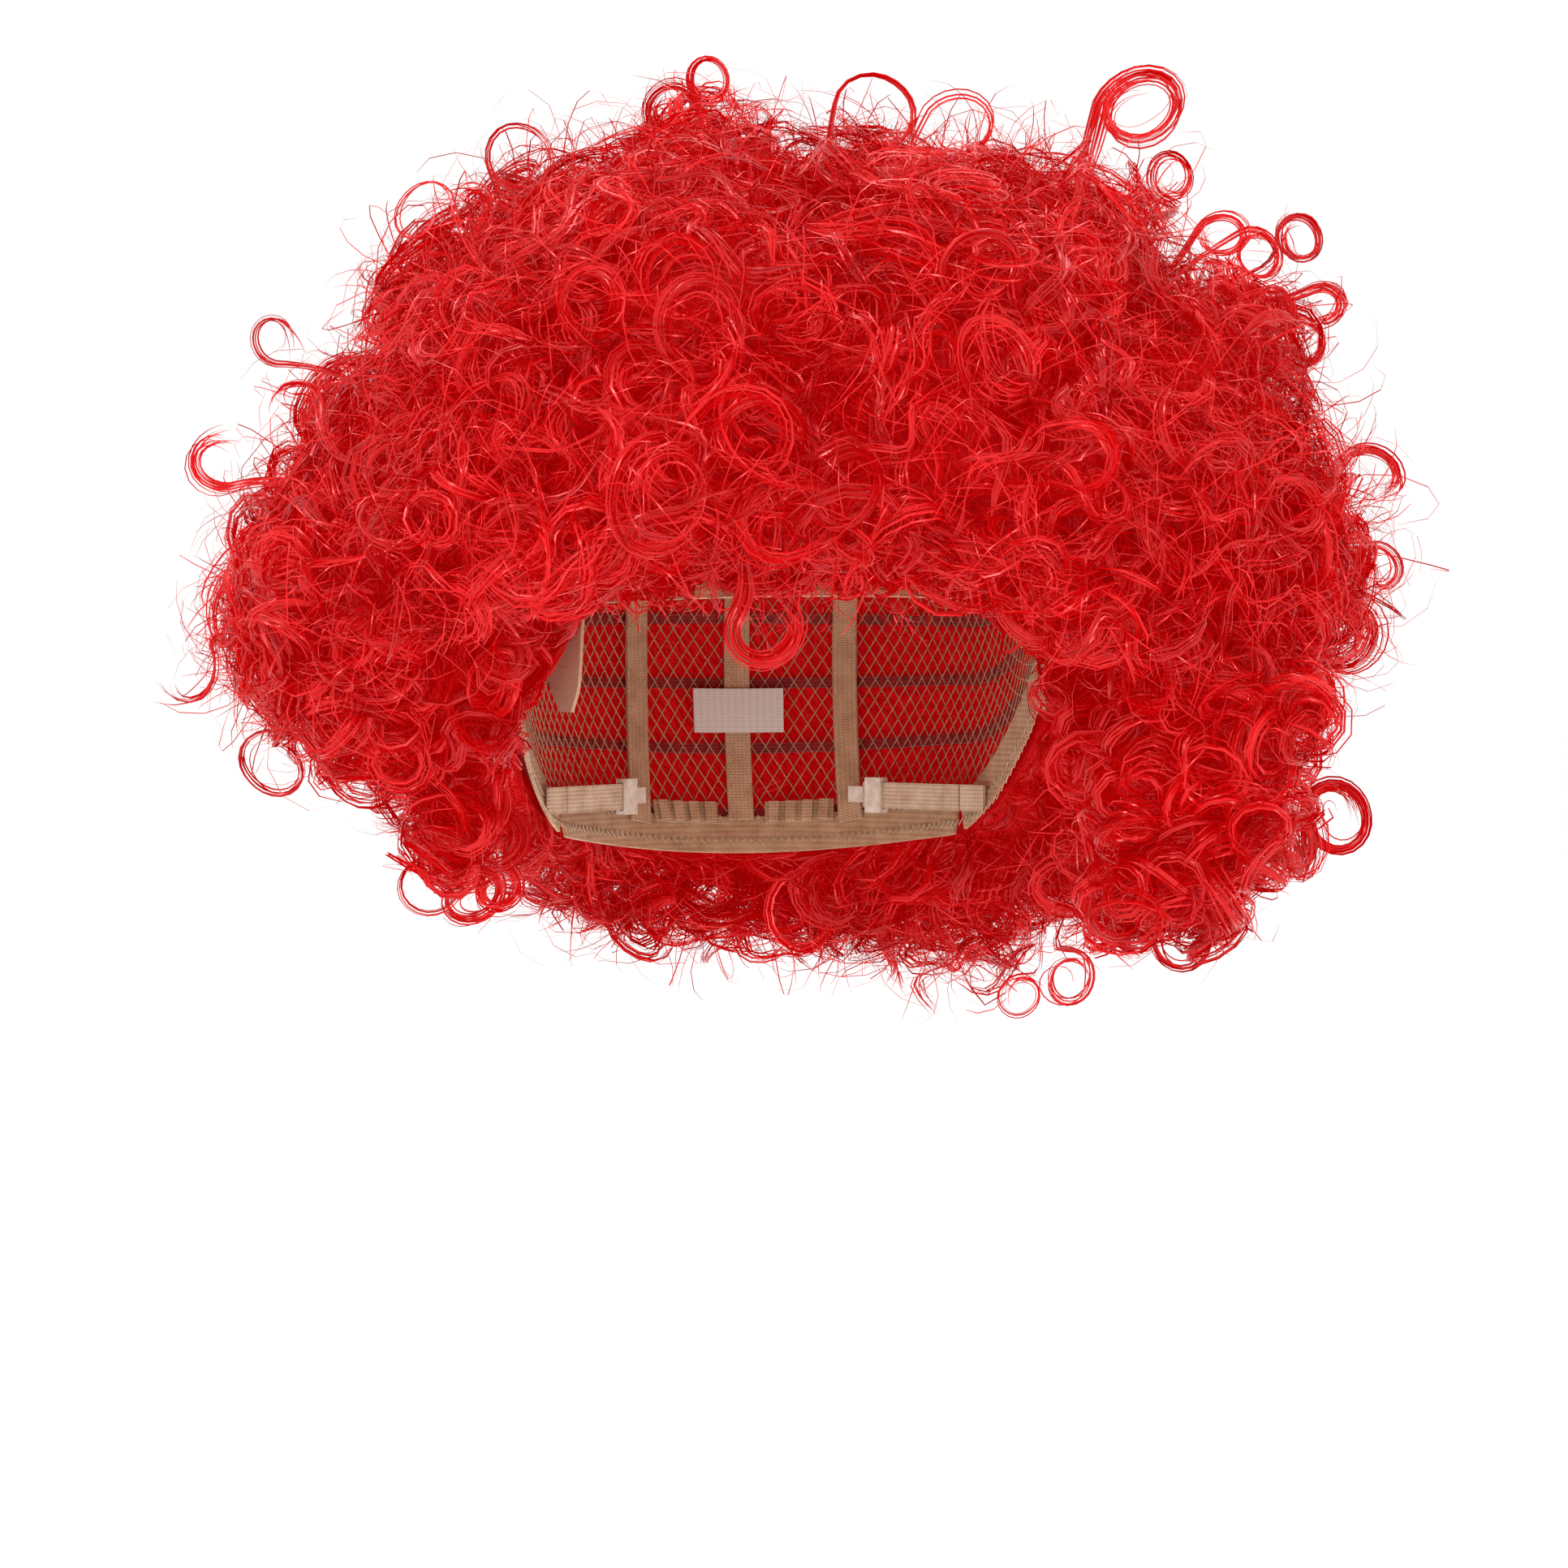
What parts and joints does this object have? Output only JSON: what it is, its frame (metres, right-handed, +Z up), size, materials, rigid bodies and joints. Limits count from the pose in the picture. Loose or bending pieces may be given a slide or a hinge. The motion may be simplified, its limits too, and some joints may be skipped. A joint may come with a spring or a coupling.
{
  "type": "costume wig",
  "caption": "Large round curly costume wig: rows of coiled red fibre sewn on an elastic net cap, with ear tabs and hook-and-loop-tape nape adjusters.",
  "frame": {"origin": "middle of the head at brow level, where the cap grips it", "axes": "+Z up through the crown, -Y the way the face looks, +X the wearer's left"},
  "size_m": [0.336, 0.2829, 0.2684],
  "materials": {
    "hair_fibre": "curled synthetic fibre, glossy red",
    "weft_stitching": "dark red stitched weft track",
    "cap_net": "open tan net",
    "elastic_band": "tan woven elastic",
    "rib_tape": "tan woven tape",
    "ear_tab_fabric": "tan felt with looped hair",
    "strap_elastic": "narrow tan elastic",
    "hook_plastic": "clear-tan moulded plastic",
    "label_satin": "white satin, left blank"
  },
  "bodies": {
    "cap": {"hair_row_01": "hair_fibre", "hair_row_02": "hair_fibre", "hair_row_03": "hair_fibre", "hair_row_04": "hair_fibre", "hair_row_05": "hair_fibre", "hair_row_06": "hair_fibre", "hair_row_07": "hair_fibre", "hair_row_08": "hair_fibre", "hair_row_09": "hair_fibre", "hair_row_10": "hair_fibre", "hair_crown_tuft": "hair_fibre", "weft_track_01": "weft_stitching", "weft_track_02": "weft_stitching", "weft_track_03": "weft_stitching", "weft_track_04": "weft_stitching", "weft_track_05": "weft_stitching", "weft_track_06": "weft_stitching", "weft_track_07": "weft_stitching", "weft_track_08": "weft_stitching", "weft_track_09": "weft_stitching", "weft_track_10": "weft_stitching", "crown_swirl": "weft_stitching", "crown_net": "cap_net", "crown_patch": "cap_net", "front_band": "elastic_band", "nape_band": "elastic_band", "side_band_left": "elastic_band", "side_band_right": "elastic_band", "rib_center": "rib_tape", "rib_left": "rib_tape", "rib_right": "rib_tape", "strap_anchor_left": "strap_elastic", "strap_anchor_right": "strap_elastic", "loop_tape_left": "rib_tape", "loop_tape_right": "rib_tape", "size_label": "label_satin"},
    "ear_tab_left": {"ear_tab_left": "ear_tab_fabric"},
    "strap_left": {"adjuster_strap_left": "strap_elastic"},
    "hook_left": {"adjuster_hook_left": "hook_plastic"},
    "ear_tab_right": {"ear_tab_right": "ear_tab_fabric"},
    "strap_right": {"adjuster_strap_right": "strap_elastic"},
    "hook_right": {"adjuster_hook_right": "hook_plastic"}
  },
  "joints": [
    {"name": "ear_tab_left_flex", "type": "hinge", "parent": "cap", "child": "ear_tab_left", "pos_m": [0.06947, -0.04469, 0.01151], "axis": [-0.3885, -0.9211, 0.025], "range_deg": [-10, 30], "stiffness_Nm_per_rad": 0.00005},
    {"name": "strap_left_swing", "type": "hinge", "parent": "cap", "child": "strap_left", "pos_m": [0.06055, 0.03855, -0.04581], "axis": [0, 0, 1], "range_deg": [0, 50]},
    {"name": "hook_left_slide", "type": "slide", "parent": "strap_left", "child": "hook_left", "axis": [0.6516, -0.7586, 0], "range_m": [0, 0.0255]},
    {"name": "ear_tab_right_flex", "type": "hinge", "parent": "cap", "child": "ear_tab_right", "pos_m": [-0.06947, -0.04469, 0.01151], "axis": [-0.3885, 0.9211, -0.025], "range_deg": [-10, 30], "stiffness_Nm_per_rad": 0.00005},
    {"name": "strap_right_swing", "type": "hinge", "parent": "cap", "child": "strap_right", "pos_m": [-0.06055, 0.03855, -0.04581], "axis": [0, 0, -1], "range_deg": [0, 50]},
    {"name": "hook_right_slide", "type": "slide", "parent": "strap_right", "child": "hook_right", "axis": [-0.6516, -0.7586, 0], "range_m": [0, 0.0255]}
  ]
}
